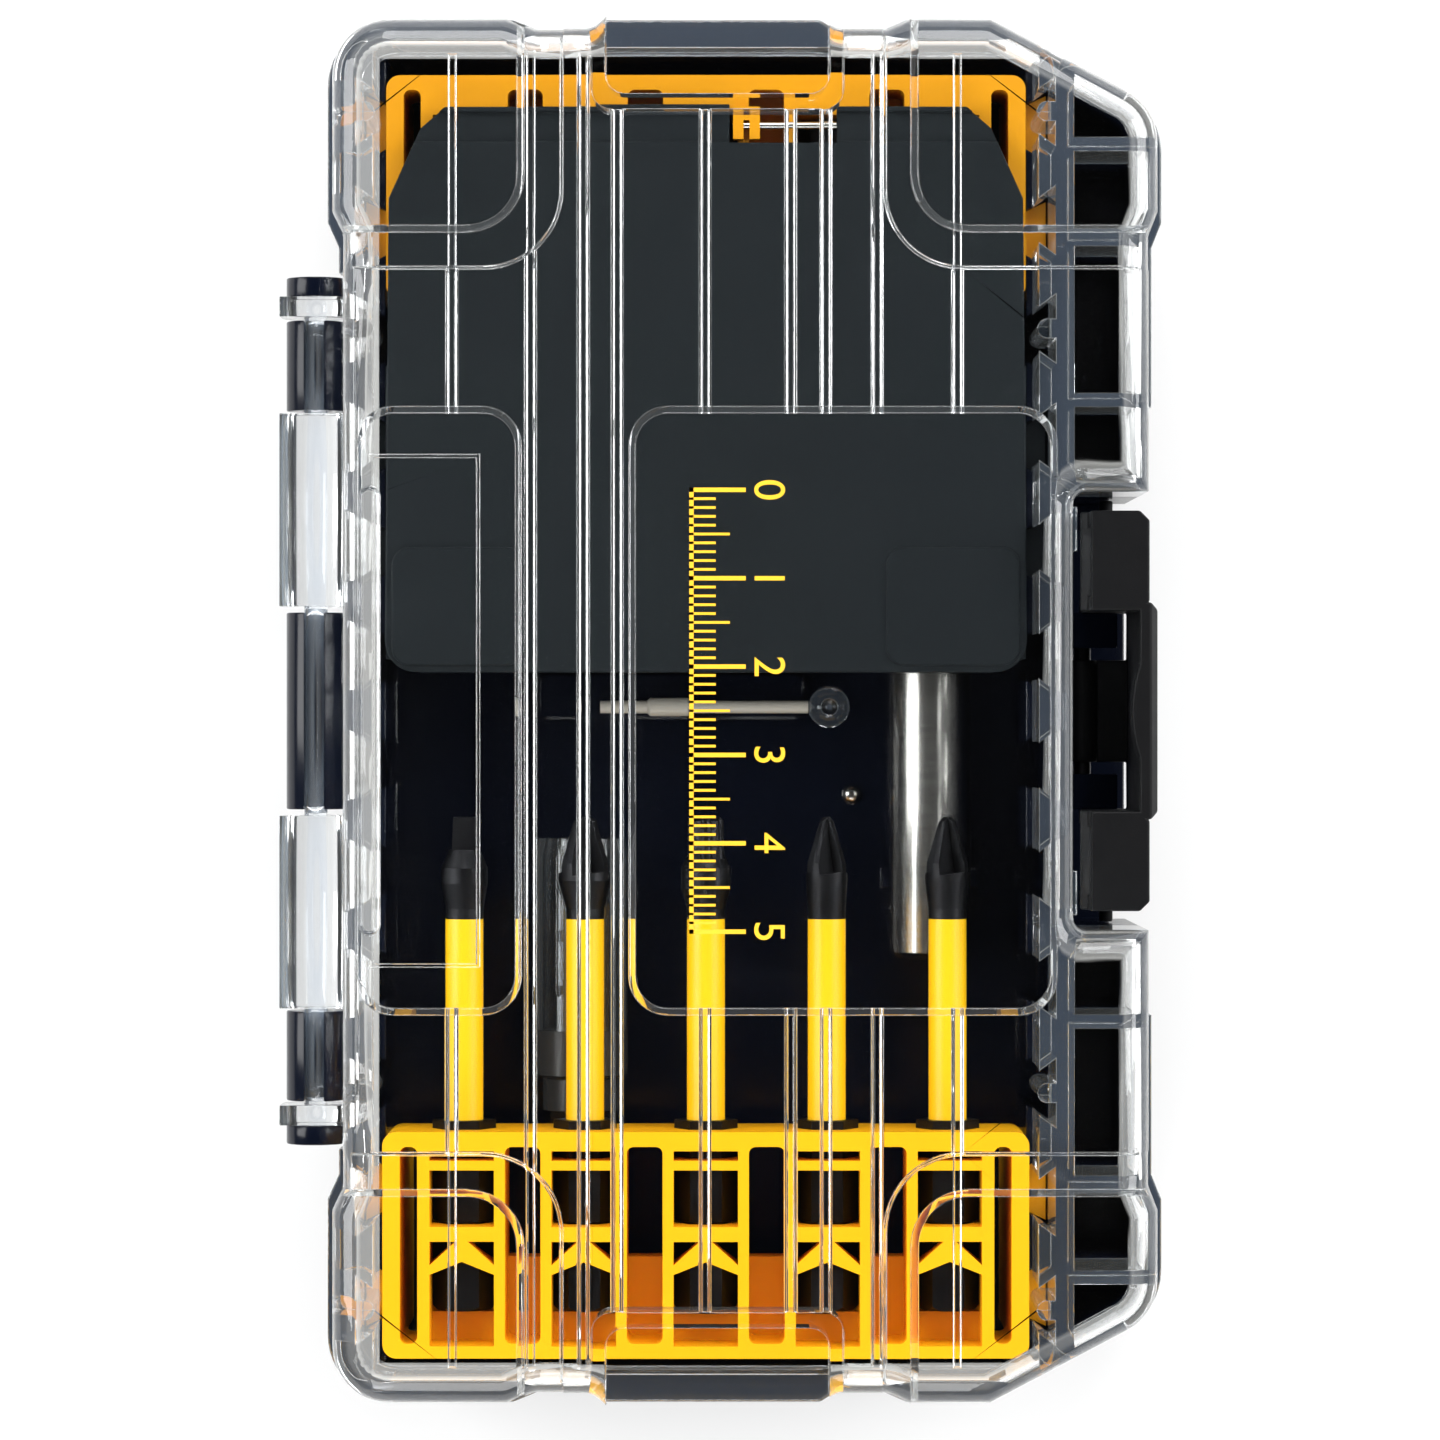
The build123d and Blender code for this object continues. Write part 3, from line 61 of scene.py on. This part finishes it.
# Moulded plastic by slot: its two colours, its range of roughness, its grain's height and size in
# millimetres, and how strong its reflections are
MOULDED = {
    "base_plastic": ((0.002, 0.003, 0.007), (0.003, 0.0045, 0.011), (0.12, 0.25), 0.004, 0.8, 0.25),
    "latch_plastic": ((0.004, 0.004, 0.0045), (0.007, 0.007, 0.0075), (0.4, 0.55), 0.012, 0.35, 0.12),
    "yellow_plastic": ((0.93, 0.42, 0.004), (1.0, 0.48, 0.005), (0.3, 0.42), 0.005, 0.5, 0.25),
    # amber_plastic: the bit bars' yellow plastic made darker, painted shade for the upper bit bar that
    # sits deeper in the case
    "amber_plastic": ((0.6, 0.24, 0.004), (0.7, 0.29, 0.005), (0.3, 0.42), 0.005, 0.5, 0.25),
    "grey_plastic": ((0.006, 0.008, 0.0095), (0.0085, 0.011, 0.0125), (0.5, 0.65), 0.01, 0.3, 0.12),
    "hub_plastic": ((0.03, 0.03, 0.03), (0.05, 0.048, 0.045), (0.2, 0.3), 0.004, 0.5, 0.5),
    "pale_plastic": ((0.55, 0.5, 0.42), (0.7, 0.66, 0.58), (0.3, 0.45), 0.004, 0.4, 0.5),
    "sleeve_yellow": ((0.95, 0.5, 0.006), (1.0, 0.56, 0.008), (0.25, 0.38), 0.003, 0.4, 0.3),
}

# Steel by slot: its two colours, its range of roughness, the height of its turning lines in millimetres,
# and how the lines are stretched
STEEL = {
    "bright_steel": ((0.5, 0.48, 0.44), (0.66, 0.64, 0.6), (0.14, 0.3), 0.0015, (0.15, 3, 0.15)),
    "dark_steel": ((0.012, 0.012, 0.013), (0.03, 0.03, 0.032), (0.3, 0.5), 0.002, (1, 1, 1)),
    "magnet_metal": ((0.3, 0.3, 0.31), (0.45, 0.45, 0.46), (0.2, 0.35), 0.001, (1, 1, 1)),
}

# Clear plastic by slot: its tint, its roughness and its share of the pale coat, painted highlight on
# sloped faces and faintly pale on the rest
CLEAR = {
    "clear_plastic": ((0.96, 0.975, 0.98), 0.015, 1.0),
    "tube_plastic": ((0.8, 0.82, 0.83), 0.02, 0.35),
}

# Noise of other finishes, in cycles per metre: moulded plastic's colour and gloss, steel's tone and lines
DRIFT_SCALE = 60
WEAR_SCALE = 400
STEEL_TONE_SCALE = 150
TURNING_SCALE = 900

# The eased edges that moulded pieces have, and which edges count as sharp
EASED_MM = {"lid_shell": 0.08, "base_shell": 0.15, "compartment_cover": 0.15, "latch_lever": 0.2}
WELD_MM = 0.01
SHARP_DEGREES = 40

# What clear and glossy faces show of the room: pale blue-grey sides and a dark ceiling
ROOM_SIDES = (0.17, 0.2, 0.24)
ROOM_BY_HEIGHT = ((0.0, ROOM_SIDES), (0.55, ROOM_SIDES), (0.85, (0.03, 0.03, 0.035)),
                  (1.0, (0.01, 0.01, 0.01)))
ROOM_GLOW = 0.35

# Soft square lamps: their places in metres and their power
LAMP_SIZE = 0.6
LAMPS = {"lamp_left": ((-0.8, 0.15, 0.55), 9), "lamp_right": ((0.8, 0.25, 0.55), 9),
         "lamp_top": ((0.1, 0.9, 0.6), 8), "lamp_front": ((-0.1, -0.9, 0.6), 6)}

# The floor: its size in metres, and how much it glows for the camera and for rays through clear plastic
FLOOR_SIZE = 6.0
FLOOR_Z_MM = -0.3
FLOOR_GREY = 0.86
FLOOR_ROUGHNESS = 0.9
FLOOR_GLOW = 0.6
FLOOR_GLOW_THROUGH = 0.15

# The printed scale on the lid, in millimetres: its place and length, how thick its ink and its lines
# are, the lengths of its marks by how far apart they stand, and its numbers
SCALE_X = -3.6
SCALE_Z = 40.2
SCALE_LENGTH = 50
CENTIMETRE = 10
INK = 0.05
MARKS = {CENTIMETRE: 6.4, 5: 4.6, 1: 3.0}
THICK_MARK = 0.5
THIN_MARK = 0.3
NUMBER_SIZE = 5.0
NUMBER_GAP = 1.0

# The print's colour, its darker spots, and the noise of its tone and gloss in cycles per metre
INK_COLOUR = (1.0, 0.55, 0.03)
INK_SHADE = 0.9
INK_GLOSS = (0.3, 0.5)
INK_TONE_SCALE = 900
INK_GLOSS_SCALE = 500

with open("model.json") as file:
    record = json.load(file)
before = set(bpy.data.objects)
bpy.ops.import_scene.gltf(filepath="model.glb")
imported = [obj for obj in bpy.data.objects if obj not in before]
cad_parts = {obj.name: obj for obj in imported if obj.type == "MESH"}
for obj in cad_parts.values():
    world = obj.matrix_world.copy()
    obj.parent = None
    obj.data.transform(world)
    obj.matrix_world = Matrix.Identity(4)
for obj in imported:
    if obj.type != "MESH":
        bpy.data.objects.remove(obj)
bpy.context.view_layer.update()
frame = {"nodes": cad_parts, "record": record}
nodes = frame["nodes"]


def mm(*values):
    """Lengths in millimetres as a vector in metres."""
    return Vector(v * MM for v in values)


class Value:
    """A shader socket that Python arithmetic adds Math nodes to."""

    def __init__(self, finish, socket):
        self.finish = finish
        self.socket = socket

    def math(self, operation, *others):
        """Feed this socket and others through one Math node."""
        node = self.finish.node("ShaderNodeMath", {"operation": operation}, self, *others)
        return node["Value"]

    def __add__(self, other):
        return self.math("ADD", other)

    __radd__ = __add__

    def __mul__(self, other):
        return self.math("MULTIPLY", other)

    __rmul__ = __mul__

    def __sub__(self, other):
        return self.math("SUBTRACT", other)

    def __rsub__(self, other):
        return (self * -1) + other

    def above(self, limit):
        """1 where this is more than a limit, otherwise 0."""
        return self.math("GREATER_THAN", limit)

    def most(self, other):
        """The larger of this and another value."""
        return self.math("MAXIMUM", other)

    def ramp(self, *stops):
        """Look this value up on a ramp of (position, value) stops."""
        node = self.finish.node("ShaderNodeValToRGB", {"stops": stops}, self)
        return node["Color"]


class Outputs:
    """The outputs of a node, by name."""

    def __init__(self, finish, node):
        self.finish = finish
        self.made = node

    def __getitem__(self, name):
        return Value(self.finish, self.made.outputs[name])


class Finish:
    """A material with one Principled shader, and a method that adds any other node."""

    def __init__(self, name, color, roughness=0.5, **fixed):
        self.material = bpy.data.materials.new(name)
        self.material.use_nodes = True
        self.tree = self.material.node_tree
        self.shader = self.tree.nodes["Principled BSDF"]
        self.output = self.tree.nodes["Material Output"]
        self.shader.inputs["Base Color"].default_value = (*color, 1)
        self.shader.inputs["Roughness"].default_value = roughness
        for socket, value in fixed.items():
            self.shader.inputs[socket.replace("_", " ")].default_value = value

    def node(self, kind, settings=None, *inputs, **named):
        """Add a node: its settings first, then values or links for its sockets."""
        node = self.tree.nodes.new(kind)
        for key, value in (settings or {}).items():
            if key == "stops":
                set_stops(node.color_ramp, value)
            else:
                setattr(node, key, value)
        pairs = list(zip(range(len(inputs)), inputs))
        pairs += [(name.replace("_", " "), value) for name, value in named.items()]
        for socket, value in pairs:
            self.feed(node.inputs[socket], value)
        return Outputs(self, node)

    def feed(self, socket, value):
        """Link a value to a socket, or set it."""
        if isinstance(value, Value):
            self.tree.links.new(value.socket, socket)
        else:
            socket.default_value = value

    def set(self, name, value):
        """Feed one socket of the Principled shader."""
        self.feed(self.shader.inputs[name], value)

    def noise(self, scale, detail=2.0, stretch=(1, 1, 1)):
        """Noise on Object coordinates, with its scale as cycles per metre."""
        coordinates = self.node("ShaderNodeTexCoord")["Object"]
        place = self.node("ShaderNodeMapping", None, Vector=coordinates, Scale=stretch)["Vector"]
        return self.node("ShaderNodeTexNoise", None, Vector=place, Scale=scale, Detail=detail)["Fac"]

    def blend(self, factor, first, second):
        """Mix two colours."""
        node = self.node("ShaderNodeMix", {"data_type": "RGBA"})
        inputs = node.made.inputs
        self.feed(inputs["Factor"], factor)
        colours = [s for s in inputs if s.type == "RGBA"]
        for socket, colour in zip(colours, (first, second)):
            self.feed(socket, (*colour, 1))
        return Value(self, [s for s in node.made.outputs if s.type == "RGBA"][0])

    def uneven_gloss(self, noise, low, high):
        """Let the roughness follow a noise from a low to a high value."""
        self.set("Roughness", noise * (high - low) + low)

    def bump(self, height, distance):
        """Raise the surface by a height from 0 to 1 times a distance in metres."""
        self.set("Normal", self.node("ShaderNodeBump", None, Height=height, Distance=distance)["Normal"])

    def mix_in(self, factor, other):
        """Show another shader over all that the surface shows so far, by a factor."""
        surface = self.output.inputs["Surface"]
        below = Value(self, surface.links[0].from_socket)
        mixed = self.node("ShaderNodeMixShader", None, factor, below, other)
        self.tree.links.new(mixed["Shader"].socket, surface)

    def position(self):
        """Where a point of the closed case is, in metres, as X, Y and Z."""
        parts = self.node("ShaderNodeSeparateXYZ", None, self.node("ShaderNodeTexCoord")["Object"])
        return parts["X"], parts["Y"], parts["Z"]

    def facing(self):
        """The upward part of the piece's own surface normal, from -1 to 1."""
        return self.node("ShaderNodeSeparateXYZ", None, self.node("ShaderNodeTexCoord")["Normal"])["Z"]


def set_stops(ramp, stops):
    """Give a colour ramp its stops, as (position, grey) or (position, colour)."""
    while len(ramp.elements) > 1:
        ramp.elements.remove(ramp.elements[-1])
    for number, (position, shade) in enumerate(stops):
        element = ramp.elements[0] if number == 0 else ramp.elements.new(position)
        element.position = position
        element.color = (*shade, 1) if isinstance(shade, tuple) else (shade, shade, shade, 1)


def moulded_plastic(name, dark, light, gloss, grain, grain_size, shine):
    """Moulded plastic: slow colour drift, a fine grain and uneven gloss."""
    finish = Finish(name, light, gloss[0], Specular_IOR_Level=shine)
    finish.set("Base Color", finish.blend(finish.noise(DRIFT_SCALE, 3), dark, light))
    finish.uneven_gloss(finish.noise(WEAR_SCALE, 4), *gloss)
    finish.bump(finish.noise(1 / (grain_size * MM)), grain * MM)
    return finish.material


def turned_steel(name, dark, light, gloss, lines, axis_stretch):
    """Steel with fine turning lines round its length and slightly uneven tone."""
    finish = Finish(name, light, gloss[0], Metallic=1.0)
    finish.set("Base Color", finish.blend(finish.noise(STEEL_TONE_SCALE, 3), dark, light))
    rings = finish.noise(TURNING_SCALE, 3, axis_stretch)
    finish.uneven_gloss(rings, *gloss)
    finish.bump(rings, lines * MM)
    return finish.material


def clear_plastic(name, tint, gloss, haze_and_highlight):
    """Clear polycarbonate: faintly pale everywhere, with painted highlight where a shoulder or an edge
    slopes and along the roof's outer edge, pale blue painted light on the walls' lower ends, and clear
    where it is level.

    Lamps and bounced light pass straight through it.
    """
    finish = Finish(name, tint, gloss, Transmission_Weight=1.0, IOR=PLASTIC_INDEX)
    finish.uneven_gloss(finish.noise(CLEAR_GLOSS_SCALE, 3), gloss * 0.5, gloss * 1.5)
    finish.bump(finish.noise(CLEAR_WAVE_SCALE), CLEAR_WAVE_MM * MM)
    facing = finish.facing()
    level = facing * facing
    x, y, z = finish.position()
    # Pale blue painted light on the level lower ends of the lid's walls, standing in for light seen down
    # through the walls
    painted_wall_end = level.above(WALL_END_LEVEL) * (WALL_END_TOP_MM * MM - z).above(0)
    # A painted highlight band on the roof's level edge over the outer walls
    edge_x, edge_y = (distance * MM for distance in ROOF_EDGE_FROM_MM)
    outside = (y * y).above(edge_y ** 2).most((x * -1).above(edge_x))
    roof_edge_highlight = level.above(ROOF_EDGE_LEVEL) * outside * z.above(ROOF_EDGE_BOTTOM_MM * MM)
    shade = finish.blend(painted_wall_end, PALE_HAZE_AND_HIGHLIGHT, WALL_END_PAINTED_BLUE)
    pale = finish.node("ShaderNodeBsdfDiffuse", None, Color=shade)["BSDF"]
    # A pale diffuse coat: painted highlight on sloped shoulders and eased edges, faintly pale on the
    # rest, plus the painted light of the wall ends and the roof edge
    slope = level.ramp(*HAZE_AND_HIGHLIGHT_BY_SLOPE)
    finish.mix_in(slope * haze_and_highlight + painted_wall_end * WALL_END_PAINTED_LIGHT + roof_edge_highlight * ROOF_EDGE_PAINTED_HIGHLIGHT, pale)
    rays = finish.node("ShaderNodeLightPath")
    through = rays["Is Shadow Ray"].most(rays["Is Diffuse Ray"])
    finish.mix_in(through, finish.node("ShaderNodeBsdfTransparent", None, Color=(*tint, 1))["BSDF"])
    return finish.material


def printing_ink():
    """Screen-printed ink with a slightly uneven tone and gloss."""
    finish = Finish("printing_ink", INK_COLOUR)
    shade = tuple(c * INK_SHADE for c in INK_COLOUR)
    finish.set("Base Color", finish.blend(finish.noise(INK_TONE_SCALE), shade, INK_COLOUR))
    finish.uneven_gloss(finish.noise(INK_GLOSS_SCALE, 3), *INK_GLOSS)
    return finish.material


def dress_cad():
    """Give every CAD node the finish of its slot."""
    finishes = {}
    for kind, looks in ((moulded_plastic, MOULDED), (turned_steel, STEEL), (clear_plastic, CLEAR)):
        finishes.update({slot: kind(slot, *look) for slot, look in looks.items()})
    slots = {part["node"]: part["material_slot"] for part in frame["record"]["subparts"]}
    for name, piece in nodes.items():
        piece.data.materials.clear()
        piece.data.materials.append(finishes[slots[name]])


def ease_edges():
    """Round the sharp edges of the moulded pieces with live modifiers."""
    for name, width in EASED_MM.items():
        piece = nodes[name]
        weld = piece.modifiers.new("weld", "WELD")
        weld.merge_threshold = WELD_MM * MM
        ease = piece.modifiers.new("ease", "BEVEL")
        ease.width = width * MM
        ease.segments = 2
        ease.use_clamp_overlap = False
        ease.limit_method = "ANGLE"
        ease.angle_limit = math.radians(SHARP_DEGREES)


def ink_bar(x, y, width, height):
    """One printed bar on the lid, its lower left corner at (x, y) in millimetres."""
    bpy.ops.object.select_all(action="DESELECT")
    middle = mm(x + width / 2, y + height / 2, SCALE_Z + INK / 2)
    bpy.ops.mesh.primitive_cube_add(size=1, location=middle, scale=mm(width, height, INK))
    bpy.ops.object.transform_apply()
    return bpy.context.object


def ink_number(text, x, y):
    """A printed number on the lid that reads from the latch side."""
    bpy.ops.object.select_all(action="DESELECT")
    bpy.ops.object.text_add(location=mm(x, y, SCALE_Z), rotation=(0, 0, -math.pi / 2))
    number = bpy.context.object
    number.data.body = text
    number.data.size = NUMBER_SIZE * MM
    number.data.extrude = INK * MM / 2
    number.data.align_x = "CENTER"
    bpy.ops.object.convert(target="MESH")
    bpy.ops.object.transform_apply()
    return bpy.context.object


def lid_scale(ink):
    """A plain printed centimetre scale on the lid's right-hand panel."""
    top = SCALE_LENGTH / 2
    pieces = [ink_bar(SCALE_X, -top - THICK_MARK / 2, THICK_MARK, SCALE_LENGTH + THICK_MARK)]
    for step in range(SCALE_LENGTH + 1):
        length = next(value for every, value in MARKS.items() if step % every == 0)
        thick = THICK_MARK if step % CENTIMETRE == 0 else THIN_MARK
        pieces.append(ink_bar(SCALE_X, top - step - thick / 2, length, thick))
    for number in range(SCALE_LENGTH // CENTIMETRE + 1):
        x = SCALE_X + MARKS[CENTIMETRE] + NUMBER_GAP
        pieces.append(ink_number(str(number), x, top - number * CENTIMETRE))
    bpy.ops.object.select_all(action="DESELECT")
    for piece in pieces:
        piece.select_set(True)
    bpy.context.view_layer.objects.active = pieces[0]
    bpy.ops.object.join()
    scale = bpy.context.object
    scale.name = "lid_scale"
    scale.data.materials.clear()
    scale.data.materials.append(ink)
    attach(scale, "lid")


def add_camera():
    """A camera straight above the case, framed as the photograph is."""
    data = bpy.data.cameras.new("camera")
    data.sensor_width = SENSOR_MM
    data.lens = PX_PER_MM * CAMERA_HEIGHT_MM * SENSOR_MM / IMAGE_PX
    camera = bpy.data.objects.new("camera", data)
    x = (IMAGE_PX / 2 - MIDDLE_PX[0]) / PX_PER_MM
    y = (MIDDLE_PX[1] - IMAGE_PX / 2) / PX_PER_MM
    camera.location = mm(x, y, SEAM_MM + CAMERA_HEIGHT_MM)
    bpy.context.scene.collection.objects.link(camera)
    bpy.context.scene.camera = camera


def add_lamps():
    """Soft lamps low round the case, each facing it."""
    for name, (place, power) in LAMPS.items():
        data = bpy.data.lights.new(name, "AREA")
        data.size = LAMP_SIZE
        data.energy = power
        lamp = bpy.data.objects.new(name, data)
        lamp.location = place
        lamp.rotation_euler = (-Vector(place)).to_track_quat("-Z", "Y").to_euler()
        bpy.context.scene.collection.objects.link(lamp)


def add_room():
    """A room that the camera sees as white, and that clear and glossy faces see as a dim one."""
    world = bpy.data.worlds.new("studio")
    world.use_nodes = True
    bpy.context.scene.world = world
    tree = world.node_tree
    tree.nodes.clear()
    rays = tree.nodes.new("ShaderNodeLightPath").outputs
    room = background(tree, 1.0)
    tree.links.new(room_colour(tree), room.inputs["Color"])
    shown = background(tree, ROOM_GLOW)
    for ray in ("Is Glossy Ray", "Is Transmission Ray"):
        shown = layered(tree, shown, rays[ray], room)
    shown = layered(tree, shown, rays["Is Camera Ray"], background(tree, 1.0))
    output = tree.nodes.new("ShaderNodeOutputWorld")
    tree.links.new(shown.outputs[0], output.inputs["Surface"])


def background(tree, strength):
    """A white background of some strength."""
    node = tree.nodes.new("ShaderNodeBackground")
    node.inputs["Color"].default_value = (1, 1, 1, 1)
    node.inputs["Strength"].default_value = strength
    return node


def layered(tree, below, factor, above):
    """Show one background over another by a factor."""
    mix = tree.nodes.new("ShaderNodeMixShader")
    tree.links.new(factor, mix.inputs[0])
    tree.links.new(below.outputs[0], mix.inputs[1])
    tree.links.new(above.outputs[0], mix.inputs[2])
    return mix


def room_colour(tree):
    """The room's colour by how high a ray points, so that level clear faces stay clear."""
    where = tree.nodes.new("ShaderNodeTexCoord")
    parts = tree.nodes.new("ShaderNodeSeparateXYZ")
    ramp = tree.nodes.new("ShaderNodeValToRGB")
    set_stops(ramp.color_ramp, ROOM_BY_HEIGHT)
    tree.links.new(where.outputs["Generated"], parts.inputs[0])
    tree.links.new(parts.outputs["Z"], ramp.inputs["Fac"])
    return ramp.outputs["Color"]


def add_floor():
    """A pale floor that keeps the case's shadow and reads white to the camera."""
    bpy.ops.object.select_all(action="DESELECT")
    bpy.ops.mesh.primitive_plane_add(size=FLOOR_SIZE, location=mm(0, 0, FLOOR_Z_MM))
    floor = bpy.context.object
    floor.name = "floor"
    finish = Finish("floor_white", (FLOOR_GREY, FLOOR_GREY, FLOOR_GREY), FLOOR_ROUGHNESS)
    rays = finish.node("ShaderNodeLightPath")
    glow = finish.node("ShaderNodeEmission", None, Color=(1, 1, 1, 1), Strength=1.0)
    seen = rays["Is Camera Ray"] * FLOOR_GLOW + rays["Is Transmission Ray"] * FLOOR_GLOW_THROUGH
    finish.mix_in(seen, glow["Emission"])
    floor.data.materials.append(finish.material)


dress_cad()
ease_edges()
lid_scale(printing_ink())
add_camera()
add_lamps()
add_room()
add_floor()

bpy.context.scene.view_settings.view_transform = "Standard"
